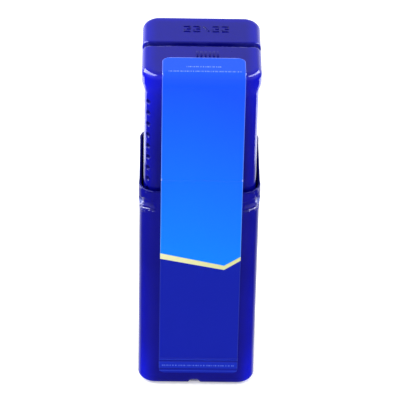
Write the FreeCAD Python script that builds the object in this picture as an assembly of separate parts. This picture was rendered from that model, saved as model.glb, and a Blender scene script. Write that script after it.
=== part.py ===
"""Square telescoping plastic case: two blow-moulded sleeves and a sealing label.

The lower sleeve stands on its closed base, and the upper sleeve slides in its
open end. Round dents down two opposite corners of the upper sleeve click over
nibs inside the lower one. A film label is stuck over both and cut across just
above the rim, so that its two halves part as the case is pulled out.

The origin is the middle of the base's rest face. +Z is up, -Y is the front,
and every value is in millimetres.
"""
import FreeCAD
import Part

import math
import os

from FreeCAD import Placement, Rotation, Vector

# ---- driving dimensions ----
OUTER_WIDTH = 47.6        # lower sleeve across its flats, both ways
OUTER_CORNER = 7.2        # plan radius of its corners
WALL = 1.3                # blown wall of both sleeves
SLIDE_GAP = 0.4           # clearance between the sleeves, each side
LOWER_HEIGHT = 94.5       # base to rim
BASE_EDGE = 2.8           # rounding between the base and the sides
FLOOR = 1.5               # thickness of the closed base
OVERLAP = 40.0            # length of upper sleeve inside the lower one, as stored

HEAD_PROUD = 1.0          # closed end of the upper sleeve, proud of its sides
HEAD_CORNER = 6.8
HEAD_HEIGHT = 5.6         # straight band of the head
HEAD_TAPER = 5.0          # swept neck below that band
HEAD_EDGE = 3.0           # rounding of the top edge
HEAD_TOP = 1.6            # thickness of the closed top

CLICK_PITCH = 5.0         # spacing of the dents
FIRST_DENT = 13.5         # top of the case to the first dent
LAST_DENT = 3.0           # least from the last dent to the sleeve's open end
RESTING_DENT = 9          # dents above the one that the nib rests in, as stored
NIB_DEPTH = 6.0           # rim to the nibs inside it
DENT_RADIUS = 1.05
DENT_DEPTH = 0.8
NIB_CLEARANCE = 0.2       # nib to dent, all round
DENT_WALL = 0.7           # wall left behind a dent

SWELLING = 0.3            # collar corners stand this far proud of the sides
SWELLING_HEIGHT = 9.5     # from the rim down
CREASE_HEIGHT = 4.4
CREASE_DEPTH = 0.9
CREASE_REACH = 38.0       # degrees to each side of the corner's diagonal

GROOVE_WIDTH = 3.8        # pinch-off groove across the top
GROOVE_CENTRE = 0.7       # its middle lies a little behind the middle of the top
GROOVE_DEPTH = 1.8
GROOVE_DROP = 3.2         # how far the groove runs down the sides of the head
WELD_WIDTH = 0.8          # seam left in that groove
WELD_HEIGHT = 0.9
NOTCH_WIDTH = 5.2         # pinch-off notches under the base's front and rear edges
NOTCH_DEPTH = 1.2
NOTCH_LENGTH = 9.0        # in from the front and the rear
NOTCH_CENTRE = -0.7

MARK_RISE = 0.25          # raised mould marks on the top
REAR_MARK = (2.8, 4.6)    # size of one rear block
REAR_MARK_PITCH = 3.7
REAR_MARK_CENTRE = (1.8, 12.4)
FRONT_MARK = (1.0, 4.4)
FRONT_MARK_PITCH = 1.6
FRONT_MARKS = 6
FRONT_MARK_CENTRE = (2.2, -7.1)

BEAD_HEIGHT = 4.8         # bead across the front, under the label's lower end
BEAD_RISE = 0.4
BEAD_CENTRE = 10.4        # above the base

LABEL_SIDE = 7.8          # bare plastic left to each side of the label, on average
LABEL_THICK = 0.12
LABEL_OFFSET = 0.8        # the label sits a little right of the middle
LABEL_BOTTOM = 6.2
LABEL_CUT = 5.8           # cut line above the rim
CUT_GAP = 0.2
LABEL_CLEAR = 0.05        # upper half clears the lower half as it slides over it
LABEL_MARKS = 0.6         # its top end stops this far short of the small marks
LEAVES_AT = 20.0          # degrees of the head's rounding where the film leaves it
LABEL_TOP_CORNER = 3.2
LABEL_BOTTOM_CORNER = 2.2
FAR = 200.0               # longer than anything here

# ---- sizes that follow from those ----
BORE_WIDTH = OUTER_WIDTH - 2 * WALL
BORE_CORNER = OUTER_CORNER - WALL
INNER_WIDTH = BORE_WIDTH - 2 * SLIDE_GAP
INNER_CORNER = BORE_CORNER - SLIDE_GAP
INNER_BOTTOM = LOWER_HEIGHT - OVERLAP
NIB_Z = LOWER_HEIGHT - NIB_DEPTH
FIRST_DENT_Z = NIB_Z + RESTING_DENT * CLICK_PITCH
DENTS = 1 + int((FIRST_DENT_Z - INNER_BOTTOM - LAST_DENT) / CLICK_PITCH)
TOTAL_HEIGHT = FIRST_DENT_Z + FIRST_DENT
HEAD_WIDTH = INNER_WIDTH + 2 * HEAD_PROUD
HEAD_BOTTOM = TOTAL_HEIGHT - HEAD_HEIGHT
NECK_BOTTOM = HEAD_BOTTOM - HEAD_TAPER
CORNER_AXIS = OUTER_WIDTH / 2 - OUTER_CORNER
DENT_REACH = INNER_CORNER - DENT_DEPTH + DENT_RADIUS
FRONT = -OUTER_WIDTH / 2
CUT_Z = LOWER_HEIGHT + LABEL_CUT
LABEL_WIDTH = OUTER_WIDTH - 2 * LABEL_SIDE
LABEL_TOP_END = FRONT_MARK_CENTRE[1] - FRONT_MARK[1] / 2 - LABEL_MARKS


def square_wire(width, corner, z):
    """A square with round corners, lying flat at height z."""
    half = width / 2
    flat = half - corner
    slant = corner * math.sin(math.radians(45))
    edges = []
    for turn in range(4):
        spin = Rotation(Vector(0, 0, 1), 90 * turn)

        def at(x, y):
            return spin.multVec(Vector(x, y, 0)) + Vector(0, 0, z)

        edges.append(Part.LineSegment(at(half, -flat), at(half, flat)).toShape())
        edges.append(Part.Arc(at(half, flat), at(flat + slant, flat + slant),
                              at(flat, half)).toShape())
    return Part.Wire(edges)


def square_prism(width, corner, low, high):
    """A square bar with round corners, between two heights."""
    return Part.Face(square_wire(width, corner, low)).extrude(Vector(0, 0, high - low))


def round_rim(shape, z, radius):
    """Round every outline edge of the face that lies at height z."""
    edges = [edge for edge in shape.Edges
             if all(abs(v.Point.z - z) < 1e-4 for v in edge.Vertexes)]
    return shape.makeFillet(radius, edges)


def box_between(low, high):
    """A box given by its two extreme corners."""
    size = [b - a for a, b in zip(low, high)]
    return Part.makeBox(*size, Vector(*low))


def at_corner(sign, reach, z):
    """A point on a corner's diagonal, at a distance from the corner's own axis."""
    step = CORNER_AXIS + reach * math.sin(math.radians(45))
    return Vector(sign * step, sign * step, z)


def sleeve_form(inset):
    """The upper sleeve's outline drawn in by a wall thickness."""
    width = INNER_WIDTH - 2 * inset
    corner = INNER_CORNER - inset
    head = HEAD_WIDTH - 2 * inset
    head_corner = HEAD_CORNER - inset
    top = TOTAL_HEIGHT - (HEAD_TOP if inset else 0)
    low = INNER_BOTTOM - (1 if inset else 0)
    body = square_prism(width, corner, low, NECK_BOTTOM)
    sections = []
    for share in (0.0, 0.25, 0.5, 0.75, 1.0):
        sweep = (1 - math.cos(math.pi * share)) / 2
        sections.append(square_wire(width + (head - width) * sweep,
                                    corner + (head_corner - corner) * sweep,
                                    NECK_BOTTOM + HEAD_TAPER * share))
    neck = Part.makeLoft(sections, True, False)
    cap = round_rim(square_prism(head, head_corner, HEAD_BOTTOM, top), top,
                    HEAD_EDGE - inset / 2)
    return body.fuse([neck, cap]).removeSplitter()


def dent_row(radius):
    """Balls down the front-left and rear-right corners, one for each dent."""
    balls = []
    for sign in (-1, 1):
        for click in range(DENTS):
            centre = at_corner(sign, DENT_REACH, FIRST_DENT_Z - CLICK_PITCH * click)
            balls.append(Part.makeSphere(radius, centre))
    return balls


def groove_cutter():
    """Pinch-off groove across the top, running a little way down both sides."""
    half = GROOVE_WIDTH / 2
    low = TOTAL_HEIGHT - GROOVE_DEPTH
    points = [Vector(-FAR / 2, -half, TOTAL_HEIGHT + 1), Vector(-FAR / 2, -half, low + half / 2),
              Vector(-FAR / 2, -half / 2, low), Vector(-FAR / 2, half / 2, low),
              Vector(-FAR / 2, half, low + half / 2), Vector(-FAR / 2, half, TOTAL_HEIGHT + 1)]
    cutters = [Part.Face(Part.makePolygon(points + points[:1])).extrude(Vector(FAR, 0, 0))]
    for side in (-1, 1):
        centre = Vector(side * HEAD_WIDTH / 2, 0, TOTAL_HEIGHT - GROOVE_DROP)
        cutters.append(Part.makeCylinder(half / 2, GROOVE_DROP + 1, centre))
    for cutter in cutters:
        cutter.translate(Vector(0, GROOVE_CENTRE, 0))
    return cutters


def weld_seam():
    """Seam standing in the groove where the parison was pinched shut."""
    low = TOTAL_HEIGHT - GROOVE_DEPTH - WELD_HEIGHT / 2
    foot = WELD_WIDTH / 2
    crest = foot / 2
    high = low + WELD_HEIGHT * 1.5
    reach = HEAD_WIDTH / 2 - HEAD_CORNER / 2
    points = [Vector(-reach, -foot, low), Vector(-reach, -crest, high),
              Vector(-reach, crest, high), Vector(-reach, foot, low)]
    seam = Part.Face(Part.makePolygon(points + points[:1])).extrude(Vector(2 * reach, 0, 0))
    seam.translate(Vector(0, GROOVE_CENTRE, 0))
    return seam


def raised_block(size, centre):
    """One rectangular mould mark on the top."""
    half_x, half_y = size[0] / 2, size[1] / 2
    return box_between((centre[0] - half_x, centre[1] - half_y, TOTAL_HEIGHT - MARK_RISE),
                       (centre[0] + half_x, centre[1] + half_y, TOTAL_HEIGHT + MARK_RISE))


def mould_marks():
    """Neutral blocks behind the groove and small bars in front of it."""
    marks = []
    for step in (-2, -1, 1, 2):
        x = REAR_MARK_CENTRE[0] + step * REAR_MARK_PITCH
        block = raised_block(REAR_MARK, (x, REAR_MARK_CENTRE[1]))
        slot = raised_block((REAR_MARK[0] / 2, REAR_MARK[1] / 4), (x, REAR_MARK_CENTRE[1]))
        slot.translate(Vector(math.copysign(REAR_MARK[0] / 3, step), 0, MARK_RISE))
        marks.append(block.cut(slot))
    bar = raised_block((REAR_MARK[0] / 3.5, REAR_MARK[1]), (0, 0))
    bar.Placement = Placement(Vector(REAR_MARK_CENTRE[0], REAR_MARK_CENTRE[1], 0),
                              Rotation(Vector(0, 0, 1), 30))
    marks.append(bar)
    for place in range(FRONT_MARKS):
        x = FRONT_MARK_CENTRE[0] + (place - (FRONT_MARKS - 1) / 2) * FRONT_MARK_PITCH
        marks.append(raised_block(FRONT_MARK, (x, FRONT_MARK_CENTRE[1])))
    return marks


def upper_sleeve():
    """Inner sleeve: closed head on top, open below, dents down two corners."""
    form = sleeve_form(0)
    cavity = sleeve_form(WALL)
    under_groove = GROOVE_WIDTH / 2 + WALL
    cavity = cavity.cut(box_between(
        (-FAR / 2, GROOVE_CENTRE - under_groove, TOTAL_HEIGHT - GROOVE_DEPTH - HEAD_TOP),
        (FAR / 2, GROOVE_CENTRE + under_groove, TOTAL_HEIGHT)))
    shell = form.cut(cavity)
    bumps = [ball.common(form) for ball in dent_row(DENT_RADIUS + DENT_WALL)]
    shell = shell.fuse(bumps)
    shell = shell.cut(dent_row(DENT_RADIUS))
    shell = shell.cut(groove_cutter())
    return shell.fuse([weld_seam()] + mould_marks())


def corner_swelling(sign_x, sign_y):
    """Barrel-shaped swelling round one corner's own axis, just below the rim."""
    low = LOWER_HEIGHT - SWELLING_HEIGHT
    middle = LOWER_HEIGHT - SWELLING_HEIGHT / 2
    bulge = Part.Arc(Vector(OUTER_CORNER, 0, low),
                     Vector(OUTER_CORNER + SWELLING, 0, middle),
                     Vector(OUTER_CORNER + SWELLING / 2, 0, LOWER_HEIGHT)).toShape()
    outline = Part.Wire([
        Part.LineSegment(Vector(0, 0, low), Vector(OUTER_CORNER, 0, low)).toShape(), bulge,
        Part.LineSegment(Vector(OUTER_CORNER + SWELLING / 2, 0, LOWER_HEIGHT),
                         Vector(0, 0, LOWER_HEIGHT)).toShape(),
        Part.LineSegment(Vector(0, 0, LOWER_HEIGHT), Vector(0, 0, low)).toShape()])
    barrel = Part.Face(outline).revolve(Vector(0, 0, 0), Vector(0, 0, 1), 360)
    barrel.translate(Vector(sign_x * CORNER_AXIS, sign_y * CORNER_AXIS, 0))
    half = OUTER_WIDTH / 2
    return barrel.common(box_between((-FAR / 2, -half, 0), (FAR / 2, half, FAR)))


def crease(sign_x, sign_y):
    """Rounded crease pressed into a swelling, across the corner's diagonal."""
    tube = CREASE_HEIGHT / 2
    reach = OUTER_CORNER + SWELLING - CREASE_DEPTH + tube
    start = math.degrees(math.atan2(sign_y, sign_x)) - CREASE_REACH
    ring = Part.Face(Part.Wire([Part.makeCircle(tube, Vector(reach, 0, 0), Vector(0, 1, 0))]))
    sweep = ring.revolve(Vector(0, 0, 0), Vector(0, 0, 1), 2 * CREASE_REACH)
    sweep.Placement = Placement(Vector(sign_x * CORNER_AXIS, sign_y * CORNER_AXIS, NIB_Z),
                                Rotation(Vector(0, 0, 1), start))
    ends = []
    for turn in (start, start + 2 * CREASE_REACH):
        angle = math.radians(turn)
        ends.append(Part.makeSphere(tube, Vector(
            sign_x * CORNER_AXIS + reach * math.cos(angle),
            sign_y * CORNER_AXIS + reach * math.sin(angle), NIB_Z)))
    return sweep.fuse(ends)


def front_bead(rise, width):
    """Shallow cylinder segment lying across the front; its back is in the wall."""
    half = BEAD_HEIGHT / 2
    outline = Part.Wire([
        Part.Arc(Vector(0, FRONT, BEAD_CENTRE - half), Vector(0, FRONT - rise, BEAD_CENTRE),
                 Vector(0, FRONT, BEAD_CENTRE + half)).toShape(),
        Part.LineSegment(Vector(0, FRONT, BEAD_CENTRE + half),
                         Vector(0, FRONT + WALL / 2, BEAD_CENTRE)).toShape(),
        Part.LineSegment(Vector(0, FRONT + WALL / 2, BEAD_CENTRE),
                         Vector(0, FRONT, BEAD_CENTRE - half)).toShape()])
    bead = Part.Face(outline).extrude(Vector(width, 0, 0))
    bead.translate(Vector(LABEL_OFFSET - width / 2, 0, 0))
    return bead


def base_notches(widen, low, high):
    """Bars with sloping sides under the middle of the base's front and rear edges."""
    half = NOTCH_WIDTH / 2 + widen
    slope = high - low
    length = NOTCH_LENGTH + widen
    bars = []
    for start in (FRONT, -FRONT - length):
        points = [Vector(-half - slope, start, low), Vector(-half, start, high),
                  Vector(half, start, high), Vector(half + slope, start, low)]
        bar = Part.Face(Part.makePolygon(points + points[:1])).extrude(Vector(0, length, 0))
        bar.translate(Vector(NOTCH_CENTRE, 0, 0))
        bars.append(bar)
    return bars


def lower_sleeve():
    """Outer sleeve: closed base, swollen collar corners, two nibs inside the rim."""
    form = round_rim(square_prism(OUTER_WIDTH, OUTER_CORNER, 0, LOWER_HEIGHT), 0, BASE_EDGE)
    corners = [(x, y) for x in (-1, 1) for y in (-1, 1)]
    form = form.fuse([corner_swelling(x, y) for x, y in corners])
    cavity = round_rim(square_prism(BORE_WIDTH, BORE_CORNER, FLOOR, LOWER_HEIGHT + 1), FLOOR,
                       BASE_EDGE - WALL)
    cavity = cavity.cut(base_notches(WALL, 0, NOTCH_DEPTH + FLOOR))
    shell = form.cut(cavity)
    shell = shell.cut([crease(x, y) for x, y in corners])
    shell = shell.cut(base_notches(-NOTCH_DEPTH / 2, -NOTCH_DEPTH, NOTCH_DEPTH))
    nibs = [Part.makeSphere(DENT_RADIUS - NIB_CLEARANCE, at_corner(sign, DENT_REACH, NIB_Z))
            for sign in (-1, 1)]
    return shell.fuse(nibs + [front_bead(BEAD_RISE, LABEL_WIDTH)])


def label_plan(shape, low, high, corner, ends_at_top):
    """Trim a label to its width, with two round corners at one end."""
    left = LABEL_OFFSET - LABEL_WIDTH / 2
    keep = box_between((left, low, -FAR), (left + LABEL_WIDTH, high, FAR))
    end = high if ends_at_top else low
    edges = [edge for edge in keep.Edges
             if all(abs(v.Point.y - end) < 1e-6 for v in edge.Vertexes)
             and abs(edge.Vertexes[0].Point.x - edge.Vertexes[1].Point.x) < 1e-6]
    return shape.common(keep.makeFillet(corner, edges))


def lower_label():
    """Film stuck to the lower sleeve's front, over the bead, with a free tongue."""
    left = LABEL_OFFSET - LABEL_WIDTH / 2
    film = box_between((left, FRONT - LABEL_THICK, LABEL_BOTTOM),
                       (left + LABEL_WIDTH, FRONT, CUT_Z))
    film = film.fuse(front_bead(BEAD_RISE + LABEL_THICK, LABEL_WIDTH))
    behind = box_between((-FAR / 2, FRONT, 0), (FAR / 2, FAR, FAR))
    film = film.cut([behind, front_bead(BEAD_RISE, FAR)])
    film.rotate(Vector(0, 0, 0), Vector(1, 0, 0), -90)
    film = label_plan(film, LABEL_BOTTOM, FAR, LABEL_BOTTOM_CORNER, False)
    film.rotate(Vector(0, 0, 0), Vector(1, 0, 0), 90)
    return film


def film_path(offset):
    """Edges of the upper film's side view, at a distance out from its inner face."""
    leave = math.radians(LEAVES_AT)
    radius = HEAD_EDGE + offset
    centre = Vector(0, HEAD_EDGE - HEAD_WIDTH / 2, TOTAL_HEIGHT - HEAD_EDGE)
    plane = FRONT - LABEL_THICK - LABEL_CLEAR - offset

    def on_edge(angle):
        return centre + Vector(0, -radius * math.cos(angle), radius * math.sin(angle))

    top = Vector(0, LABEL_TOP_END, centre.z + radius)
    start = on_edge(leave)
    run = (start.y - plane) / math.sin(leave)
    knee = start + Vector(0, -run * math.sin(leave), -run * math.cos(leave))
    return [Part.LineSegment(top, on_edge(math.pi / 2)).toShape(),
            Part.Arc(on_edge(math.pi / 2), on_edge((leave + math.pi / 2) / 2),
                     start).toShape(),
            Part.LineSegment(start, knee).toShape(),
            Part.LineSegment(knee, Vector(0, plane, CUT_Z + CUT_GAP)).toShape()]


def upper_label():
    """Film stuck on the top, over the head's edge, hanging down to the cut."""
    inner = film_path(0)
    outer = film_path(LABEL_THICK)
    ends = [Part.LineSegment(inner[at].Vertexes[at].Point,
                             outer[at].Vertexes[at].Point).toShape() for at in (0, -1)]
    outline = Part.Wire(Part.__sortEdges__(inner + outer + ends))
    film = Part.Face(outline).extrude(Vector(LABEL_WIDTH, 0, 0))
    film.translate(Vector(LABEL_OFFSET - LABEL_WIDTH / 2, 0, 0))
    return label_plan(film, -FAR / 2, LABEL_TOP_END, LABEL_TOP_CORNER, True)


PARTS = {
    "lower_sleeve": lower_sleeve,
    "upper_sleeve": upper_sleeve,
    "lower_label": lower_label,
    "upper_label": upper_label,
}

os.makedirs("parts", exist_ok=True)
for node, make in PARTS.items():
    shape = make()
    shape.exportStep("parts/" + node + ".step")
    bounds = shape.BoundBox
    print(node, "solids", len(shape.Solids), "valid", shape.isValid(),
          "volume %.1f mm3" % shape.Volume,
          "x %.2f..%.2f" % (bounds.XMin, bounds.XMax),
          "y %.2f..%.2f" % (bounds.YMin, bounds.YMax),
          "z %.2f..%.2f" % (bounds.ZMin, bounds.ZMax))
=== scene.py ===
# %% [markdown]
# # A telescoping plastic case
#
# The case is two square sleeves of blown polyethylene. The upper one slides in
# the lower one and clicks from dent to dent, and a printed film label is stuck
# over both. This lesson builds each piece as a smooth mesh round the fixed
# frame that the design gives, then makes its finish from plain nodes.

# %% Load the frame
import math

import bmesh
import bpy
import numpy as np
from mathutils import Matrix, Vector, noise


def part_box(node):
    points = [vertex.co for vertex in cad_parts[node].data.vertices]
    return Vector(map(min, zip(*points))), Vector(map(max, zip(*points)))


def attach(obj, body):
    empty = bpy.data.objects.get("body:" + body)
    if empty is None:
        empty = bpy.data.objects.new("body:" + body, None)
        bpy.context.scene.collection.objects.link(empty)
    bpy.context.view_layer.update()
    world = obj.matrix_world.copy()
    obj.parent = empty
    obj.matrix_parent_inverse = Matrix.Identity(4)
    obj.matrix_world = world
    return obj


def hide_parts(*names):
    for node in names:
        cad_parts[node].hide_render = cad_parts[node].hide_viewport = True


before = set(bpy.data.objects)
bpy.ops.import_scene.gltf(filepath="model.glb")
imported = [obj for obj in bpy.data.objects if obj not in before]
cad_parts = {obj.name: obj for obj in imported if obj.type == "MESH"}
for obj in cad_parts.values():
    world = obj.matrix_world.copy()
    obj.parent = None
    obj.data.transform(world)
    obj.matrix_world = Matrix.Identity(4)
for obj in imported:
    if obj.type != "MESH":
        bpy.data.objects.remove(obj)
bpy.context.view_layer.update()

MM = 0.001

# %% [markdown]
# ## The sizes
#
# Heights and places come from the frame, so a piece always sits where the
# design puts it. The few sizes that a box can't tell, such as a wall or the
# radius of a corner, are named here in millimetres.

# %% Sizes from the frame
lower_low, lower_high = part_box("lower_sleeve")
upper_low, upper_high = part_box("upper_sleeve")
film_low, film_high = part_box("upper_label")
slip_low, slip_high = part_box("lower_label")

rim_z = lower_high.z
foot_z = upper_low.z
outer_half = lower_high.y
head_half = upper_high.x
mark_rise = 0.25 * MM
top_z = upper_high.z - mark_rise
print("rim %.1f mm, top %.1f mm, lower sleeve %.1f mm across" % (
    rim_z / MM, top_z / MM, 2 * outer_half / MM))

# %% Sizes in millimetres
wall = 1.3 * MM
slide_gap = 0.4 * MM
outer_corner = 7.2 * MM
base_edge = 2.8 * MM
floor_thick = 1.5 * MM
head_corner = 6.8 * MM
head_edge = 3.0 * MM
head_height = 5.6 * MM
head_taper = 5.0 * MM
head_top = 1.6 * MM
inner_half = outer_half - wall - slide_gap
inner_corner = outer_corner - wall - slide_gap
bore_half = outer_half - wall
bore_corner = outer_corner - wall
neck_top = top_z - head_height
neck_bottom = neck_top - head_taper
corner_axis = outer_half - outer_corner
bead_z = 10.4 * MM
bead_half = 2.4 * MM
bead_rise = 0.39 * MM
label_left, label_right = slip_low.x, slip_high.x

# %% [markdown]
# ## A skin of rings
#
# A blown sleeve is one closed wall whose outside and inside have no seam
# between them. It could be cut from a cube with bevels, but the dents, creases
# and groove would then need careful hand modelling. Instead the wall is a
# stack of rings, each a square with round corners, that runs up the inside,
# over the rim and down the outside. Every ring has the same stations, so the
# faces between two rings are simple quads, and any feature is a small move of
# the stations along their own normals.

# %% Stations round a square with round corners
def stations(flat_steps, corner_steps):
    """Four sides and four corners as (side, along, turn): along a flat, or round a corner."""
    rows = []
    for side in range(4):
        for along in np.linspace(-1, 1, flat_steps[side] + 1):
            rows.append((side, along, -1.0))
        for turn in np.linspace(0, 1, corner_steps[side] + 1)[1:-1]:
            rows.append((side, 1.0, turn))
    return np.array(rows)


def ring(rows, half, corner):
    """Places and outward normals, in plan, of the stations of one ring."""
    side, along, turn = rows.T
    on_flat = turn < 0
    angle = np.where(on_flat, 0, turn * math.pi / 2)
    flat = half - corner
    x = np.where(on_flat, half, flat + corner * np.cos(angle))
    y = np.where(on_flat, along * flat, flat + corner * np.sin(angle))
    spin = side * math.pi / 2
    cos, sin = np.cos(spin), np.sin(spin)
    nx, ny = np.cos(angle), np.sin(angle)
    return (np.stack([x * cos - y * sin, x * sin + y * cos], 1),
            np.stack([nx * cos - ny * sin, nx * sin + ny * cos], 1))


def skin(rows, profile):
    """Stack of rings. Each row of profile is (half, corner, z, outward share, upward share)."""
    places, normals = [], []
    for half, corner, z, out, up in profile:
        plan, flat_normal = ring(rows, half, corner)
        places.append(np.column_stack([plan, np.full(len(plan), z)]))
        normals.append(np.column_stack([flat_normal * out, np.full(len(plan), up)]))
    return np.array(places), np.array(normals)


def mesh_of_rings(name, places):
    """One closed mesh from stacked rings, with a point at each end."""
    count, around = places.shape[:2]
    ends = [places[0].mean(0), places[-1].mean(0)]
    verts = np.concatenate([places.reshape(-1, 3), ends])
    faces = []
    for i in range(count - 1):
        for j in range(around):
            k = (j + 1) % around
            faces.append((i * around + j, i * around + k, (i + 1) * around + k,
                          (i + 1) * around + j))
    first, last = count * around, count * around + 1
    for j in range(around):
        k = (j + 1) % around
        faces.append((first, k, j))
        faces.append((last, (count - 1) * around + j, (count - 1) * around + k))
    mesh = bpy.data.meshes.new(name)
    mesh.from_pydata(verts.tolist(), [], faces)
    mesh.polygons.foreach_set("use_smooth", [True] * len(mesh.polygons))
    mesh.update()
    piece = bpy.data.objects.new(name, mesh)
    bpy.context.scene.collection.objects.link(piece)
    print(name, len(verts), "points")
    return piece


def keep(piece, name, values):
    """Keep a value from 0 to 1 at each point, for the finish to read."""
    kept = piece.data.attributes.new(name, "FLOAT", "POINT")
    flat = np.zeros(len(piece.data.vertices), np.float32)
    values = np.clip(values, 0, 1).ravel()
    flat[:len(values)] = values
    kept.data.foreach_set("value", flat)


def smooth_step(low, high, value):
    """0 below low, 1 above high, and an easy curve between."""
    share = np.clip((value - low) / (high - low), 0, 1)
    return share * share * (3 - 2 * share)


def ripple(places, size, seed):
    """Gentle unevenness, from -1 to 1, that a blown wall has as it cools."""
    shift = Vector((seed, seed * 1.7, seed * 2.3))
    flat = places.reshape(-1, 3)
    values = [noise.noise(Vector(p) / size + shift) for p in flat]
    return np.array(values).reshape(places.shape[:-1])


def bead_bulge(z):
    """Height of the bead on the front: a crown between two fine ridges."""
    share = np.clip(np.abs(z - bead_z) / bead_half, 0, 1)
    crown = (1 - smooth_step(0.4, 0.85, share)) * (1 - 0.3 * share ** 2)
    ridge = np.clip(1 - np.abs(np.abs(z - bead_z) - 2.85 * MM) / (0.6 * MM), 0, 1)
    return bead_rise * (crown + 0.75 * smooth_step(0, 1, ridge))


def corner_share(places):
    """Angle from the nearest corner's diagonal, in radians."""
    away = np.abs(places[..., :2]) - corner_axis
    angle = np.arctan2(away[..., 1], away[..., 0])
    return np.abs(angle - math.pi / 4)


# %% [markdown]
# ## The upper sleeve
#
# This is the inner tube: open below, and closed above by a head that is a
# little wider than the tube, with a swept neck between them. Blow moulding
# pinches the soft tube of plastic shut along a line, which leaves the groove
# across the top. The dents are pressed bowls, 5 mm apart down two corners.
#
# Cutting balls out of the wall would make the dents too, but each cut leaves
# untidy faces. Here the rings lie close together where a dent is, and their
# points sink into it. Two values are kept at each point for the finish: a
# painted glow, where light would come through the wall, and a value that dulls
# the gloss where a tool has touched the wall and deepens the blue of the dents
# and the groove as painted shade.

# %% Heights of the upper sleeve's rings
click_pitch = 5.0 * MM
first_dent_z = top_z - 13.5 * MM
dent_count = 16
dent_radius = 1.15 * MM
dent_depth = 0.85 * MM
dent_heights = [first_dent_z - click_pitch * i for i in range(dent_count)]


def upper_heights():
    """Ring heights up the tube, close together where a dent is."""
    marks = [foot_z + 0.65 * MM, neck_bottom - 0.4 * MM]
    for z in dent_heights:
        marks += list(np.linspace(z - 1.2 * MM, z + 1.2 * MM, 17))
        marks.append(z - click_pitch / 2)
    return sorted(marks)


# %% Path of the upper sleeve's wall
def rounded(half, corner, z, radius, steps):
    """Rings round an edge, from the side wall to the top."""
    rows = []
    for angle in np.radians(np.linspace(0, 90, steps)):
        move = radius * (math.cos(angle) - 1)
        rows.append((half + move, max(corner + move, 0.2 * MM),
                     z + radius * math.sin(angle), math.cos(angle), math.sin(angle)))
    return rows


def upper_profile():
    """The wall's path: inside from the middle of the top, round the foot, outside to the top."""
    inside_top = top_z - head_top - 1.2 * MM
    cavity = inner_half - wall
    cavity_corner = inner_corner - wall
    rows = [(cavity * f, cavity_corner * f, inside_top, 0, -1)
            for f in (0.05, 0.15, 0.3, 0.5, 0.7, 0.85)]
    inside_edge = 2 * MM
    for angle in np.radians((15, 35, 55, 75)):
        inward = inside_edge * (1 - math.sin(angle))
        rows.append((cavity - inward, cavity_corner - inward,
                     inside_top - inside_edge * (1 - math.cos(angle)),
                     -math.sin(angle), -math.cos(angle)))
    rows += [(cavity, cavity_corner, z, -1, 0)
             for z in np.linspace(inside_top - 3 * MM, foot_z + 0.8 * MM, 40)]
    lip = wall / 2
    middle = inner_half - lip
    middle_corner = inner_corner - lip
    for angle in np.radians(np.linspace(180, 360, 9)[1:-1]):
        rows.append((middle + lip * math.cos(angle), middle_corner + lip * math.cos(angle),
                     foot_z + lip + lip * math.sin(angle), math.cos(angle), math.sin(angle)))
    rows += [(inner_half, inner_corner, z, 1, 0) for z in upper_heights()]
    for share in np.linspace(0, 1, 15):
        sweep = (1 - math.cos(math.pi * share)) / 2
        rows.append((inner_half + (head_half - inner_half) * sweep,
                     inner_corner + (head_corner - inner_corner) * sweep,
                     neck_bottom + head_taper * share, 1, 0))
    rows += [(head_half, head_corner, z, 1, 0)
             for z in np.linspace(neck_top + 0.5 * MM, top_z - head_edge - 0.2 * MM, 7)]
    rows += rounded(head_half, head_corner, top_z - head_edge, head_edge, 15)
    flat = head_half - head_edge
    flat_corner = head_corner - head_edge
    shares = list(np.linspace(0.97, 0.2, 38)) + list(np.linspace(0.18, 0.01, 16))
    rows += [(flat * f, flat_corner * f, top_z, 0, 1) for f in shares]
    return rows


# %% The dents and the groove
groove_half = 1.9 * MM
groove_depth = 1.8 * MM
groove_drop = 4.2 * MM
groove_y = 0.7 * MM


def dent_field(places, normals):
    """Depth of the dents' bowls at each point."""
    depth = np.zeros(places.shape[:2])
    reach = inner_corner - dent_depth + dent_radius
    for sign in (-1, 1):
        step = corner_axis + reach * math.sin(math.pi / 4)
        for z in dent_heights:
            centre = np.array([sign * step, sign * step, z])
            away = places - centre
            along = (away * normals).sum(-1)
            across = np.maximum((away ** 2).sum(-1) - along ** 2, 0)
            bowl = along + np.sqrt(np.maximum(dent_radius ** 2 - across, 0))
            inside = (across < dent_radius ** 2) & (along < 0) & (along > -dent_radius)
            depth = np.where(inside, np.maximum(depth, bowl), depth)
    return np.clip(depth, 0, dent_depth)


def groove_field(places):
    """Depth of the pinch-off groove: full on top, fading down the sides of the head."""
    across = np.abs(places[..., 1] - groove_y)
    shape = 1 - smooth_step(groove_half * 0.65, groove_half, across)
    fade = smooth_step(top_z - groove_drop, top_z - 0.8 * MM, places[..., 2])
    return groove_depth * shape * fade


# %% Painted glow on the upper sleeve
def upper_painted_glow(places):
    """Painted glow where light would come through: most at the neck, the corners and the top's
    edge.
    """
    near_corner = np.exp(-(corner_share(places) / math.radians(28)) ** 2)
    up = np.clip((places[..., 2] - 100 * MM) / (neck_top - 100 * MM), 0, 1) ** 2.2
    up *= 1 - 0.35 * smooth_step(-5 * MM, 15 * MM, places[..., 0])
    on_top = smooth_step(top_z - 1.2 * MM, top_z - 0.1 * MM, places[..., 2])
    edge = np.maximum(np.abs(places[..., 0]), places[..., 1])
    edge = smooth_step(head_half - 6.5 * MM, head_half - 1.5 * MM, edge)
    return (0.2 * near_corner + 0.75 * up) * (1 - 0.82 * on_top) + 0.35 * on_top * edge


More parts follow.
